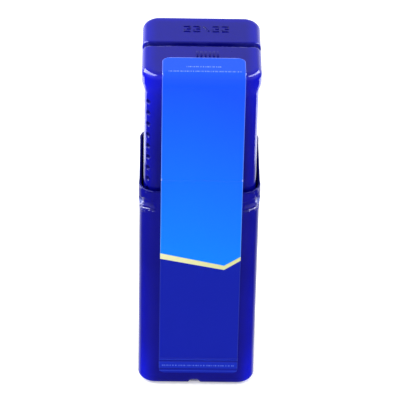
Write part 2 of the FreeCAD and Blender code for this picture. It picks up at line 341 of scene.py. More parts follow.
# %% Build the upper sleeve
def build_upper_sleeve():
    """Rings, closest at the dents and the groove, sunk into both; the flats sink a little too."""
    rows = stations((80, 22, 80, 22), (44, 12, 44, 12))
    profile = upper_profile()
    places, normals = skin(rows, profile)
    outside = np.array([i for i, row in enumerate(profile)
                        if row[3] + row[4] > 0 and row[2] > foot_z + 0.3 * MM])
    wall_places = places[outside]
    height = wall_places[..., 2]
    dents = dent_field(wall_places, normals[outside])
    middle = 1 - (np.minimum(np.abs(wall_places[..., 0]),
                             np.abs(wall_places[..., 1])) / inner_half) ** 2
    sink = 0.12 * MM * middle * smooth_step(neck_bottom, neck_bottom - 8 * MM, height)
    waves = 0.05 * MM * (ripple(wall_places, 9 * MM, 3.1) - 1) / 2
    depth = dents + groove_field(wall_places)
    depth += np.where(height > foot_z + 2 * MM, sink - waves, 0)
    moved = places.copy()
    moved[outside] = wall_places - normals[outside] * depth[..., None]
    piece = mesh_of_rings("upper_sleeve_shell", moved)
    # Painted glow where light would come through the wall, none in the groove. The dents and the
    # groove are dulled, and their blue is deepened as painted shade.
    in_groove = groove_field(places) / groove_depth
    keep(piece, "painted_glow", upper_painted_glow(places) * (1 - in_groove))
    painted_shade_and_wear = np.zeros(places.shape[:2])
    painted_shade_and_wear[outside] = smooth_step(0, 0.25 * MM, dents)
    keep(piece, "painted_shade_and_wear", np.maximum(painted_shade_and_wear, np.sqrt(in_groove)))
    return piece


upper_shell = build_upper_sleeve()
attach(upper_shell, "upper")
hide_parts("upper_sleeve")

# %% [markdown]
# ## The lower sleeve
#
# The outer tube stands on its closed base. Its rim was cut with a knife, so it
# is slightly uneven, and the corners just below it are swollen, each with a
# crease pressed across it. The plastic that the crease pushed away stands below
# it as a ragged fold with small lumps; on the sides a highlight is painted.
#
# A sculpting brush could draw all this, but not twice the same. Here each
# feature is a height over the wall, written as a formula of the angle round the
# corner and the distance below the rim, and the heights are added up. Because
# the crease is only a few millimetres high, the rings are closest there.

# %% Sizes of the collar, creases and base notches
swelling = 0.3 * MM
swelling_height = 9.5 * MM
nib_z = rim_z - 6.0 * MM
crease_height = 4.4 * MM
crease_depth = 1.15 * MM
crease_reach = math.radians(37)
fold_height = 0.22 * MM
undercut_depth = 0.7 * MM
lump_height = 1.1 * MM
crumb_height = 0.34 * MM
crumb_size = 0.42 * MM
notch_half = 2.6 * MM
notch_depth = 1.2 * MM
notch_x = -0.7 * MM
notch_length = 9.0 * MM
lip = 0.32 * MM
print("crease %.1f mm high, %.1f mm below the rim" % (
    crease_height / MM, (rim_z - nib_z) / MM))


# %% Where the crease runs, and the crumbs beside it
def crease_line(places):
    """Height of the crease's middle; it sags a little as it turns to the side."""
    away = np.abs(places[..., :2]) - corner_axis
    to_side = math.pi / 4 - np.arctan2(away[..., 1], away[..., 0])
    sag = np.where(places[..., 0] < 0, 1.6 * MM, 0.4 * MM)
    sag = sag * smooth_step(-crease_reach / 3, crease_reach, to_side)
    uneven = 0.3 * MM * ripple(places * (1, 1, 0.2), 2.6 * MM, 21.0)
    return nib_z - 0.4 * MM * (to_side / crease_reach) ** 2 - sag + uneven


# Side, degrees round the front corner from the side wall, millimetres below the rim.
crumb_places = ((-1, 28, 11.0), (-1, 37, 10.9), (-1, 49, 10.5), (-1, 55, 1.1),
                (1, 43, 9.6), (1, 53, 1.0), (1, 36, 1.1), (1, 49, 2.8))


def crumbs(places):
    """Small hard lumps that the knife and the fold have left round the front corners."""
    height = np.zeros(places.shape[:2])
    for side, turn, drop in crumb_places:
        turn = math.radians(turn)
        centre = np.array([side * (corner_axis + outer_corner * math.cos(turn)),
                           -corner_axis - outer_corner * math.sin(turn), rim_z - drop * MM])
        away = (places - centre) / crumb_size
        height += crumb_height * np.exp(-(away ** 2).sum(-1))
    return height


# %% The collar: swelling, crease, fold and lumps
def swelling_field(places):
    """Swollen corners; the front stays flat, because the label lies on it."""
    off = corner_share(places)
    height = np.clip((places[..., 2] - (rim_z - swelling_height)) / swelling_height, 0, 1)
    barrel = np.sin(math.pi * np.clip(height * 0.87, 0, 1)) ** 0.8
    to_front = np.abs(places[..., 1]) > np.abs(places[..., 0])
    share = np.where(to_front, smooth_step(math.radians(44), math.radians(28), off),
                     smooth_step(math.radians(62), math.radians(45), off))
    return swelling * barrel * share


def collar_field(places):
    """The swelling less the crease, with a ragged fold, an undercut and lumps below it."""
    off = corner_share(places)
    from_line = places[..., 2] - crease_line(places)
    across = from_line / (crease_height / 2)
    sharp = np.sqrt(np.clip(1 - np.abs(across) ** 2.4, 0, 1))
    soft = (1 + np.cos(math.pi * np.clip(across * 0.85, -1, 1))) / 2
    dip = np.where(across > 0, sharp, soft)
    ragged = 0.7 + 0.9 * ripple(places, 1.2 * MM, 5.5)
    fold = fold_height * ragged * np.exp(-((from_line + 1.8 * MM) / (0.4 * MM)) ** 2)
    undercut = undercut_depth * np.exp(-((from_line + 2.5 * MM) / (0.5 * MM)) ** 2)
    lumps = ripple(places, 0.8 * MM, 8.5) ** 2 * np.exp(
        -((from_line + 3.4 * MM) / (0.45 * MM)) ** 2)
    around = smooth_step(crease_reach * 1.2, crease_reach * 0.8, off)
    crushed = fold - undercut + lump_height * lumps - crease_depth * dip
    return swelling_field(places) + crushed * around + crumbs(places)


# %% Painted highlight and the notches in the base
def painted_highlight_field(places):
    """A pale highlight painted where the crease's shelf turns to the sides."""
    off = corner_share(places)
    sideways = np.abs(places[..., 0]) - np.abs(places[..., 1])
    side = smooth_step(1.5 * MM, 5.0 * MM, sideways)
    across = (places[..., 2] - crease_line(places) + 0.5 * MM) / (1.4 * MM)
    patchy = 0.75 + 0.9 * ripple(places, 1.3 * MM, 31.0)
    share = np.exp(-across ** 2) * side * smooth_step(crease_reach * 1.5, crease_reach, off)
    return share * np.clip(patchy, 0, 1)


def base_field(places):
    """Lift of the pinch-off notches at the front and rear of the base."""
    x, y = places[..., 0] - notch_x, np.abs(places[..., 1])
    across = 1 - smooth_step(notch_half * 0.45, notch_half, np.abs(x))
    start = outer_half - notch_length
    along = smooth_step(start, start + 2 * MM, y)
    fade = 1 - smooth_step(0.8 * MM, 4.5 * MM, places[..., 2])
    return notch_depth * across * along * fade


# %% Path of the lower sleeve's wall
def lower_profile():
    """The wall's path: under the base, up the outside, over the rim, down the inside."""
    flat = outer_half - base_edge
    flat_corner = outer_corner - base_edge
    rows = [(flat * f, flat_corner * f, 0, 0, -1) for f in np.linspace(0.03, 0.97, 24)]
    rows += [(outer_half + base_edge * (math.sin(a) - 1),
              outer_corner + base_edge * (math.sin(a) - 1),
              base_edge * (1 - math.cos(a)), math.sin(a), -math.cos(a))
             for a in np.radians(np.linspace(0, 90, 21))]
    collar = rim_z - 14 * MM
    rows += [(outer_half, outer_corner, z, 1, 0)
             for z in np.linspace(base_edge + 0.4 * MM, 16 * MM, 56)]
    rows += [(outer_half, outer_corner, z, 1, 0)
             for z in np.linspace(17 * MM, collar - 0.6 * MM, 34)]
    rows += [(outer_half, outer_corner, z, 1, 0)
             for z in np.linspace(collar, rim_z - lip, 136)]
    for angle in np.radians(np.linspace(0, 150, 11)[1:]):
        rows.append((outer_half - lip + lip * math.cos(angle),
                     outer_corner - lip + lip * math.cos(angle),
                     rim_z - lip + lip * math.sin(angle), math.cos(angle), math.sin(angle)))
    top_half = outer_half - 2 * lip
    for share in np.linspace(0, 1, 8):
        inward = (wall - 2 * lip) * share ** 0.6
        rows.append((top_half - inward, outer_corner - 2 * lip - inward,
                     rim_z - lip - 2.4 * MM * share, -0.95, 0.3))
    rows += [(bore_half, bore_corner, z, -1, 0)
             for z in np.linspace(rim_z - 3.6 * MM, base_edge + 1 * MM, 40)]
    edge = base_edge - wall
    rows += [(bore_half - edge * (1 - math.cos(a)), bore_corner - edge * (1 - math.cos(a)),
              base_edge + 0.2 * MM - edge * math.sin(a), -math.cos(a), math.sin(a))
             for a in np.radians(np.linspace(0, 90, 8))]
    inside = bore_half - edge
    rows += [(inside * f, (bore_corner - edge) * f, floor_thick, 0, 1)
             for f in (0.9, 0.7, 0.5, 0.3, 0.15, 0.05)]
    return rows


# %% Build the lower sleeve
def build_lower_sleeve():
    """Rings pushed out by the collar and the bead, sunk in the flats, and cut unevenly on top."""
    rows = stations((30, 64, 30, 64), (44, 44, 44, 44))
    places, normals = skin(rows, lower_profile())
    z = places[..., 2]
    outside = (normals[..., 2] <= 0.01) & ((normals * places).sum(-1) > 0)
    outside |= z > rim_z - lip - 1e-6
    collar = collar_field(places)
    near_rim = smooth_step(rim_z - 13.5 * MM, rim_z - 12.5 * MM, z)
    middle = 1 - (np.minimum(np.abs(places[..., 0]), np.abs(places[..., 1])) / outer_half) ** 2
    sink = 0.14 * MM * middle * smooth_step(3 * MM, 16 * MM, z)
    sink = sink * smooth_step(rim_z, rim_z - 14 * MM, z)
    waves = 0.06 * MM * (1 - ripple(places, 11 * MM, 7.7)) / 2
    push = np.where(outside, collar * near_rim - sink - waves, 0)
    push = np.where(z > rim_z - lip, push * np.clip(normals[..., 0] ** 2
                                                    + normals[..., 1] ** 2, 0, 1), push)
    from_middle = np.abs(places[..., 0] - (label_left + label_right) / 2)
    bead_reach = (label_right - label_left) / 2
    beaded = smooth_step(bead_reach, bead_reach - 0.5 * MM, from_middle)
    front = normals[..., 1] < -0.99
    push = np.where(front, push * (1 - beaded) + (bead_bulge(z) - 0.03 * MM) * beaded, push)
    moved = places + normals * push[..., None]
    moved[..., 2] += np.where(outside, base_field(places), 0)
    moved[..., 0] = np.clip(moved[..., 0], lower_low.x, lower_high.x)
    moved[..., 1] = np.clip(moved[..., 1], lower_low.y, lower_high.y)
    rim = smooth_step(rim_z - 1.2 * MM, rim_z, z)
    flat = places * (1, 1, 0)
    knife = ripple(flat, 3 * MM, 12.5) + 1.4 * ripple(flat, 0.8 * MM, 15.1)
    moved[..., 2] -= rim * 0.1 * MM * np.clip(1.8 + knife, 0, 4)
    piece = mesh_of_rings("lower_sleeve_shell", moved)
    # Painted glow: the corners are painted a purer blue, most near the base, where light would
    # come through the wall.
    near_corner = np.exp(-(corner_share(places) / math.radians(30)) ** 2)
    low = 0.15 * smooth_step(65 * MM, 35 * MM, z) + 0.5 * smooth_step(24 * MM, 2 * MM, z)
    keep(piece, "painted_glow", near_corner * (0.1 + low))
    # The knife-cut rim is dulled, and its blue is deepened as painted shade.
    keep(piece, "painted_shade_and_wear", 0.6 * smooth_step(rim_z - 0.9 * MM, rim_z - 0.3 * MM, z))
    # A pale highlight painted on the sides beside each crease.
    keep(piece, "painted_highlight", np.where(outside, painted_highlight_field(places), 0))
    return piece


lower_shell = build_lower_sleeve()
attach(lower_shell, "lower")
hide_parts("lower_sleeve")

# %% [markdown]
# ## The film label
#
# The label is one strip of printed film, 0.12 mm thick, laid over the top, the
# head's edge and the front, and cut across above the rim. A flat plane with a
# picture on it would be quicker, but the film has to bend over two edges and a
# bead, so each half is a strip swept along its own side view. Its coordinates
# are kept in millimetres along and across the film, for the print.

# %% A strip of film along a path
film_thick = 0.12 * MM
film_left = film_low.x
film_width = film_high.x - film_low.x
steps = 64


def strip(name, path, start, top_corner, bottom_corner, feather=0):
    """Film swept along path, a list of (y, z), with round corners at either end.

    Over its first part, as long as feather, the film rises from nothing.
    """
    path = np.array(path)
    seg = np.diff(path, axis=0)
    along = np.concatenate([[0], np.cumsum(np.hypot(*seg.T))])
    tangent = np.gradient(path, along, axis=0)
    tangent /= np.linalg.norm(tangent, axis=1)[:, None]
    out = np.stack([-tangent[:, 1], tangent[:, 0]], 1)
    length = along[-1]
    bm = bmesh.new()
    uv = bm.loops.layers.uv.new("film")
    grid, where = [], {}
    for i, s in enumerate(along):
        pull = 0.0
        for corner, gap in ((bottom_corner, s), (top_corner, length - s)):
            if corner and gap < corner:
                pull = max(pull, corner - math.sqrt(max(corner ** 2 - (corner - gap) ** 2, 0)))
        for layer in (0, 1):
            row = []
            for j in range(steps + 1):
                x = film_left + pull + (film_width - 2 * pull) * j / steps
                full = min(1.0, 0.04 + s / feather) if feather else 1.0
                y, z = path[i] + out[i] * film_thick * layer * full
                vert = bm.verts.new((x, y, z))
                where[vert] = ((x - film_left) / MM, (start + s) / MM)
                row.append(vert)
            grid.append(row)
    count = len(along)

    def face(*corners):
        made = bm.faces.new(corners)
        for loop in made.loops:
            loop[uv].uv = where[loop.vert]
        made.smooth = True
        return made

    for i in range(count - 1):
        for j in range(steps):
            under, over = grid[2 * i], grid[2 * i + 1]
            next_under, next_over = grid[2 * i + 2], grid[2 * i + 3]
            face(over[j], over[j + 1], next_over[j + 1], next_over[j])
            face(under[j], next_under[j], next_under[j + 1], under[j + 1])
        for j, flip in ((0, False), (steps, True)):
            quad = [grid[2 * i][j], grid[2 * i + 1][j], grid[2 * i + 3][j], grid[2 * i + 2][j]]
            face(*(reversed(quad) if flip else quad)).smooth = False
    for i, flip in ((0, True), (count - 1, False)):
        for j in range(steps):
            quad = [grid[2 * i][j], grid[2 * i + 1][j], grid[2 * i + 1][j + 1],
                    grid[2 * i][j + 1]]
            face(*(reversed(quad) if flip else quad)).smooth = False
    bmesh.ops.recalc_face_normals(bm, faces=bm.faces)
    mesh = bpy.data.meshes.new(name)
    bm.to_mesh(mesh)
    bm.free()
    piece = bpy.data.objects.new(name, mesh)
    bpy.context.scene.collection.objects.link(piece)
    print(name, "is %.1f mm long" % (length / MM))
    return piece, length


# %% The lower half, stuck to the front and over the bead
cut_z = slip_high.z
low_z = slip_low.z
round_corner = np.array([0, 0.12, 0.3, 0.55, 0.85, 1.2]) * MM
over_bead = np.linspace(9 * MM, 14.8 * MM, 70)
up_to_cut = np.linspace(16 * MM, cut_z, 60)
heights = np.concatenate([low_z + round_corner, over_bead, up_to_cut])
tongue_lean = 0.045 * MM * smooth_step(cut_z - 6 * MM, cut_z - 1 * MM, heights)
slip_path = [(-outer_half - bead_bulge(z) - lean, z) for z, lean in zip(heights, tongue_lean)]
lower_film, slip_length = strip("lower_film", slip_path, 0, 0, 2.2 * MM)
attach(lower_film, "lower")
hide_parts("lower_label")

# %% The upper half, hanging from the top
film_clear = 0.05 * MM
glue = 0.02 * MM
over_cut = 0.3 * MM
leaves_at = math.radians(20)
hang_drop = 4.6 * MM


def film_path():
    """Side view from the cut up the front, over the head's edge and on to the top.

    It hangs straight until it is above the lower half, so the two pass when pushed in,
    then bends in to meet the head's round edge.
    """
    plane = -outer_half - film_thick - film_clear
    centre = (head_edge - head_half, top_z - head_edge)
    reach = head_edge + glue
    lean = np.array([-math.sin(leaves_at), -math.cos(leaves_at)])
    leave = np.array([centre[0] - reach * math.cos(leaves_at),
                      centre[1] + reach * math.sin(leaves_at)])
    hang = np.array([plane, leave[1] - hang_drop])
    bend = (leave, leave + lean * 1.5 * MM, hang + np.array([0, 2 * MM]), hang)
    low = cut_z - over_cut
    path = [(plane, z) for z in np.linspace(low, low + 2 * MM, 9)]
    path += [(plane, z) for z in np.linspace(low + 3 * MM, hang[1] - 0.5 * MM, 50)]
    for t in np.linspace(1, 0, 24):
        share = ((1 - t) ** 3, 3 * t * (1 - t) ** 2, 3 * t * t * (1 - t), t ** 3)
        path.append(tuple(sum(w * p for w, p in zip(share, bend))))
    for angle in np.linspace(leaves_at, math.pi / 2, 16)[1:]:
        path.append((centre[0] - reach * math.cos(angle), centre[1] + reach * math.sin(angle)))
    for y in np.linspace(centre[0] + 0.4 * MM, film_high.y, 40):
        path.append((y, top_z + glue))
    return path


upper_film, film_length = strip("upper_film", film_path(), cut_z - over_cut - low_z,
                                3.2 * MM, 0, feather=6 * MM)
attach(upper_film, "upper")
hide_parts("upper_label")

# %% [markdown]
# ## Marks and weld
#
# A mould leaves raised marks on the top. Here they are plain blocks and bars
# that spell nothing, with softened edges. Each is a small cube, sized, turned
# and set down by one matrix, and a bevel modifier rounds them all at once. The
# weld is the thin ragged seam where the tube of plastic was pinched shut: a
# blade of six corners, swept along the groove, whose crest and line wander.

# %% Mould marks
mark_x = 1.8 * MM
mark_y = 12.4 * MM
mark_step = 3.7 * MM
mark_wide, mark_long = 2.8 * MM, 4.6 * MM
bar_x, bar_y = 2.2 * MM, -7.1 * MM
bar_step = 1.6 * MM
bar_wide, bar_long = 0.9 * MM, 4.2 * MM


def block(bm, centre, size, turn=0.0):
    """One raised block, its foot sunk a little into the top."""
    made = bmesh.ops.create_cube(bm, size=1)["verts"]
    sink = 0.3 * MM
    grow = Matrix.Diagonal((size[0], size[1], mark_rise + sink, 1))
    place = Matrix.Translation((centre[0], centre[1], top_z + (mark_rise - sink) / 2))
    bmesh.ops.transform(bm, matrix=place @ Matrix.Rotation(turn, 4, "Z") @ grow, verts=made)


def squared_mark(bm, x):
    """Three bars across and two short ones along, all of one height."""
    for share in (-0.42, 0, 0.42):
        wide = mark_wide * (1 if share else 0.6)
        block(bm, (x + (mark_wide - wide) / 2, mark_y + share * mark_long),
              (wide, mark_long * 0.16))
    for side in (-1, 1):
        block(bm, (x + side * mark_wide * 0.4, mark_y + side * mark_long * 0.21),
              (mark_wide * 0.2, mark_long * 0.34))


def build_marks():
    """Two pairs of squared marks and a slanted bar at the rear, six bars at the front."""
    bm = bmesh.new()
    for step in (-2, -1, 1, 2):
        squared_mark(bm, mark_x + mark_step * step)
    block(bm, (mark_x, mark_y), (0.8 * MM, mark_long), math.radians(30))
    for place in range(6):
        block(bm, (bar_x + (place - 2.5) * bar_step, bar_y), (bar_wide, bar_long))
    mesh = bpy.data.meshes.new("mould_marks")
    bm.to_mesh(mesh)
    bm.free()
    piece = bpy.data.objects.new("mould_marks", mesh)
    bpy.context.scene.collection.objects.link(piece)
    lengthways = np.array([vert.co.y for vert in mesh.vertices])
    # A little painted glow; painted shade on the rear marks and on the front halves of the front
    # bars.
    keep(piece, "painted_glow", np.full(len(lengthways), 0.1))
    keep(piece, "painted_shade_and_wear", np.where(lengthways > 0, 0.85, lengthways < bar_y))
    bevel = piece.modifiers.new("softened", "BEVEL")
    bevel.width = 0.2 * MM
    bevel.segments = 3
    mesh.polygons.foreach_set("use_smooth", [True] * len(mesh.polygons))
    print("mould_marks", len(mesh.vertices), "points before the bevel")
    return piece


marks = build_marks()
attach(marks, "upper")

# %% The weld seam
# Corners of the blade: millimetres across the groove, and share of the crest's height.
blade = ((-0.62, 0), (-0.34, 0.45), (-0.12, 0.95), (0.1, 1.0), (0.34, 0.5), (0.6, 0))
# Flecks of plastic by the weld: x, y, depth below the top and radius, in millimetres.
flecks = ((11.6, -4.6, 0, 0.17), (8.2, -0.9, 0.2, 0.24), (-9.6, -0.7, 0.2, 0.22),
          (2.4, 3.1, 0, 0.15), (22.7, -3.6, 3.4, 0.32), (22.7, 6.6, 3.0, 0.34))


def build_weld():
    """A ragged blade along the groove, higher and lower from place to place."""
    bm = bmesh.new()
    reach = head_half - 3.2 * MM
    low = top_z - groove_depth - 0.2 * MM
    count = 260
    rows = []
    for i in range(count):
        x = -reach + 2 * reach * i / (count - 1)
        wobble = noise.noise(Vector((x / (2.1 * MM), 3.3, 0)))
        fine = noise.noise(Vector((x / (0.55 * MM), 9.1, 0)))
        end = min(1.0, (reach - abs(x)) / (2.5 * MM))
        crest = (0.55 + 0.35 * wobble + 0.3 * fine) * MM * end
        lean = groove_y + (0.25 * wobble + 0.12 * fine) * MM
        rows.append([bm.verts.new((x, lean + y * MM, low + 0.2 * MM * (h > 0) + crest * h))
                     for y, h in blade])
    for a, b in zip(rows, rows[1:]):
        for j in range(len(a)):
            k = (j + 1) % len(a)
            bm.faces.new((a[j], b[j], b[k], a[k]))
    bm.faces.new(rows[0])
    bm.faces.new(list(reversed(rows[-1])))
    for x, y, depth, size in flecks:
        centre = Vector((x, y, top_z / MM - depth))
        fleck = bmesh.ops.create_icosphere(bm, subdivisions=2, radius=size * MM)["verts"]
        for vert in fleck:
            vert.co *= 1 + 0.35 * noise.noise(vert.co / (0.2 * MM) + centre)
            vert.co += centre * MM
    bmesh.ops.recalc_face_normals(bm, faces=bm.faces)
    mesh = bpy.data.meshes.new("pinch_weld")
    bm.to_mesh(mesh)
    bm.free()
    mesh.polygons.foreach_set("use_smooth", [True] * len(mesh.polygons))
    piece = bpy.data.objects.new("pinch_weld", mesh)
    bpy.context.scene.collection.objects.link(piece)
    print("pinch_weld", len(mesh.vertices), "points")
    return piece


weld = build_weld()
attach(weld, "upper")

# %% [markdown]
# ## Finishes
#
# Colours are written as the hex values a paint program shows, and one function
# turns them to the linear values that light is worked out in. Another adds a
# node and links what goes into it, so each finish below reads from top to
# bottom, ending in its shader. What is the same all over a surface is set on
# the shader itself, because an exported model keeps it only there.

# %% Helpers for colours and nodes
def linear(hex_colour, alpha=1.0):
    """sRGB hex to linear red, green, blue and alpha."""
    values = [int(hex_colour[i:i + 2], 16) / 255 for i in (1, 3, 5)]
    return tuple(v / 12.92 if v <= 0.04045 else ((v + 0.055) / 1.055) ** 2.4
                 for v in values) + (alpha,)


def node(tree, kind, inputs=None, **settings):
    """Add a node with its settings. An input is a value, a node, or a socket to link from."""
    made = tree.nodes.new(kind)
    for key, value in settings.items():
        setattr(made, key, value)
    for key, value in (inputs or {}).items():
        if isinstance(value, bpy.types.Node):
            value = next(socket for socket in value.outputs if socket.enabled)
        if isinstance(value, bpy.types.NodeSocket):
            tree.links.new(value, made.inputs[key])
        else:
            made.inputs[key].default_value = value
    return made


def new_material(name):
    """An empty material and its tree."""
    material = bpy.data.materials.new(name)
    material.use_nodes = True
    material.node_tree.nodes.clear()
    print("finish:", name)
    return material, material.node_tree


# %% [markdown]
# ### Blown polyethylene
#
# Low-density polyethylene, tinted in the mass. Blown against a polished mould
# it is glossy, with a faint orange-peel, and its wall lets a little light
# through; the glow of thin and rounded places is painted on as a purer blue.
# Light scatters about a millimetre deep in it, and blue goes furthest.
#
# The tint and the gloss could be painted by hand. Instead they follow the
# values kept at each point: a painted glow turns the blue purer; where a tool
# or a knife has touched it the gloss is dulled and painted shade deepens the
# blue there and on the marks; and a painted highlight whitens it by the creases.

# %% Blown polyethylene, tinted blue
def tinted_colour(tree, cloud):
    """The blue in the mass, uneven over some 14 mm, with painted glow, painted shade and a
    painted highlight by place.
    """
    colour = node(tree, "ShaderNodeMix", {"Factor": cloud, "A": linear("#070778"),
                                          "B": linear("#08088A")}, data_type="RGBA")
    # Painted glow, painted shade, then a painted highlight, each mixed into the blue.
    for name, share, tone in (("painted_glow", 1.0, "#0A12D8"), ("painted_shade_and_wear", 0.75, "#04045C"),
                             ("painted_highlight", 1.0, "#7F8CD8")):
        value = node(tree, "ShaderNodeAttribute", attribute_name=name).outputs["Fac"]
        factor = node(tree, "ShaderNodeMath", {0: value, 1: share}, operation="MULTIPLY")
        colour = node(tree, "ShaderNodeMix", {"Factor": factor, "A": colour, "B": linear(tone)},
                      data_type="RGBA")
    return colour


def blown_polyethylene():
    """Tinted, glossy and a little see-through: IOR 1.51, roughness 0.06 to 0.13."""
    material, tree = new_material("blown_polyethylene_blue")
    place = node(tree, "ShaderNodeTexCoord").outputs["Object"]
    cloud = node(tree, "ShaderNodeTexNoise", {"Vector": place, "Scale": 1 / (14 * MM),
                                              "Detail": 2.0, "Roughness": 0.5}).outputs["Fac"]
    peel = node(tree, "ShaderNodeTexNoise", {"Vector": place, "Scale": 1 / (1.6 * MM),
                                             "Detail": 1.0}).outputs["Fac"]
    bump = node(tree, "ShaderNodeBump", {"Height": peel, "Strength": 0.06,
                                         "Distance": 0.05 * MM})
    painted_shade_and_wear = node(tree, "ShaderNodeAttribute", attribute_name="painted_shade_and_wear").outputs["Fac"]
    haze = node(tree, "ShaderNodeMapRange", {"Value": cloud, "To Min": 0.06, "To Max": 0.13})
    roughness = node(tree, "ShaderNodeMix", {"Factor": painted_shade_and_wear, "A": haze, "B": 0.25})
    gloss = node(tree, "ShaderNodeMapRange", {"Value": painted_shade_and_wear, "To Min": 0.5, "To Max": 0.18})
    gloss_tint = node(tree, "ShaderNodeMix", {"Factor": painted_shade_and_wear, "A": linear("#FFFFFF"),
                                              "B": linear("#96A0FF")}, data_type="RGBA")
    shader = node(tree, "ShaderNodeBsdfPrincipled", {
        "Base Color": tinted_colour(tree, cloud),
        "Roughness": roughness,
        "Normal": bump,
        "IOR": 1.51,
        "Specular IOR Level": gloss,
        "Specular Tint": gloss_tint,
        "Subsurface Weight": 0.25,
        "Subsurface Radius": (0.15, 0.2, 1.0),
        "Subsurface Scale": 1.2 * MM})
    node(tree, "ShaderNodeOutputMaterial", {"Surface": shader})
    return material


polyethylene = blown_polyethylene()
for piece in (upper_shell, lower_shell, marks, weld):
    piece.data.materials.append(polyethylene)

# %% [markdown]
# ### Printed film
#
# Polypropylene film, printed on its face and varnished. A picture would print
# it in one step, but blurs close up. Instead it is inked as a press does it, one
# ink over another: each ink has a mask, worked out from millimetres along and
# across the film, so its edges stay sharp at any distance. The small print is
# rows of dashes that say nothing, a little coarser than print so that they show.

# %% Sizes of the print
film_across = film_width / MM
film_end = (cut_z - over_cut - low_z + film_length) / MM
cut_along = (cut_z - low_z) / MM
bead_along = (bead_z - low_z) / MM
stripe_left = 59.4
stripe_low = 53.7
stripe_right = 58.1
stripe_low_at = 25.5
stripe_thick = 2.6
stripe_taper = 0.024
# Each row: its middle along the film, its height, its two ends across the film,
# the size of a dash, a seed, and how strong the ink is.
dash_rows = ((film_end - 6.8, 0.75, 9.3, 22.7, 0.5, 3.0, 0.75),
             (film_end - 10.2, 0.8, 2.5, 30.3, 0.45, 8.0, 0.6),
             (bead_along - 0.1, 0.6, 1.1, 31.2, 0.6, 4.0, 0.3))
# Lines of painted highlight and painted shade where the film crosses the bead's ridges: offset
# from its middle, colour, strength.
bead_painted_light = ((2.8, "#3C5CE8", 0.4), (2.0, "#04106A", 0.5),
              (-1.9, "#04106A", 0.5), (-3.0, "#3C5CE8", 0.4))
print("film %.1f mm across, %.1f mm to its top end" % (film_across, film_end))


# %% Masks
def step_up(tree, value, edge, width):
    """0 below edge and 1 above it, over a soft width."""
    past = node(tree, "ShaderNodeMath", {0: value, 1: edge}, operation="SUBTRACT")
    return node(tree, "ShaderNodeMath", {0: past, 1: 1 / width, 2: 0.5},
                operation="MULTIPLY_ADD", use_clamp=True)


def band(tree, value, centre, half):
    """1 within half of centre, else 0."""
    past = node(tree, "ShaderNodeMath", {0: value, 1: centre}, operation="SUBTRACT")
    away = node(tree, "ShaderNodeMath", {0: past}, operation="ABSOLUTE")
    return node(tree, "ShaderNodeMath", {0: away, 1: half}, operation="LESS_THAN")


def dashes(tree, across, along, row):
    """One row of tiny dashes, broken by noise along the row."""
    centre, tall, low, high, size, seed, _ = row
    tall_band = band(tree, along, centre, tall / 2)
    span = band(tree, across, (low + high) / 2, (high - low) / 2)
    place = node(tree, "ShaderNodeMath", {0: across, 1: 1 / size, 2: seed},
                 operation="MULTIPLY_ADD")
    letter = node(tree, "ShaderNodeTexNoise", {"W": place, "Scale": 1.0, "Detail": 1.0},
                  noise_dimensions="1D").outputs["Fac"]
    both = node(tree, "ShaderNodeMath", {0: tall_band, 1: span}, operation="MULTIPLY")
    return node(tree, "ShaderNodeMath", {0: both, 1: step_up(tree, letter, 0.5, 0.1)},
                operation="MULTIPLY")


def stripe_masks(tree, across, along):
    """What lies above the stripe's lower line, and above its upper line.

    The upper line falls to its lowest point and rises again, so it is the
    higher of two slanted lines.
    """
    fall = (stripe_low - stripe_left) / stripe_low_at
    climb = (stripe_right - stripe_low) / (film_across - stripe_low_at)
    falling = node(tree, "ShaderNodeMath", {0: across, 1: fall, 2: stripe_left},
                   operation="MULTIPLY_ADD")
    climbing = node(tree, "ShaderNodeMath",
                    {0: across, 1: climb, 2: stripe_low - climb * stripe_low_at},
                    operation="MULTIPLY_ADD")
    upper_line = node(tree, "ShaderNodeMath", {0: falling, 1: climbing}, operation="MAXIMUM")
    thick = node(tree, "ShaderNodeMath", {0: across, 1: -stripe_taper, 2: stripe_thick},
                 operation="MULTIPLY_ADD")
    lower_line = node(tree, "ShaderNodeMath", {0: upper_line, 1: thick}, operation="SUBTRACT")
    masks = []
    for line in (lower_line, upper_line):
        past = node(tree, "ShaderNodeMath", {0: along, 1: line}, operation="SUBTRACT")
        masks.append(step_up(tree, past, 0.0, 0.12))
    return masks


# %% Inks that change from place to place
def azure_ink(tree, across, along):
    """Lighter low on the right, deeper at the top."""
    from_left = node(tree, "ShaderNodeMath", {0: across, 1: 12.0}, operation="MAXIMUM")
    slanted = node(tree, "ShaderNodeMath", {0: from_left, 1: 0.35, 2: along},
                   operation="MULTIPLY_ADD")
    ramp = node(tree, "ShaderNodeMapRange", {"Value": slanted, "From Min": 61.4,
                                             "From Max": 141.4})
    return node(tree, "ShaderNodeMix", {"Factor": ramp, "A": linear("#0680FC"),
                                        "B": linear("#1254F8")}, data_type="RGBA")


def stripe_ink(tree, across):
    """Pale yellow, a shade darker to the right."""
    share = node(tree, "ShaderNodeMath", {0: across, 1: film_across}, operation="DIVIDE")
    return node(tree, "ShaderNodeMix", {"Factor": share, "A": linear("#E9E9B4"),
                                        "B": linear("#DADA98")}, data_type="RGBA")


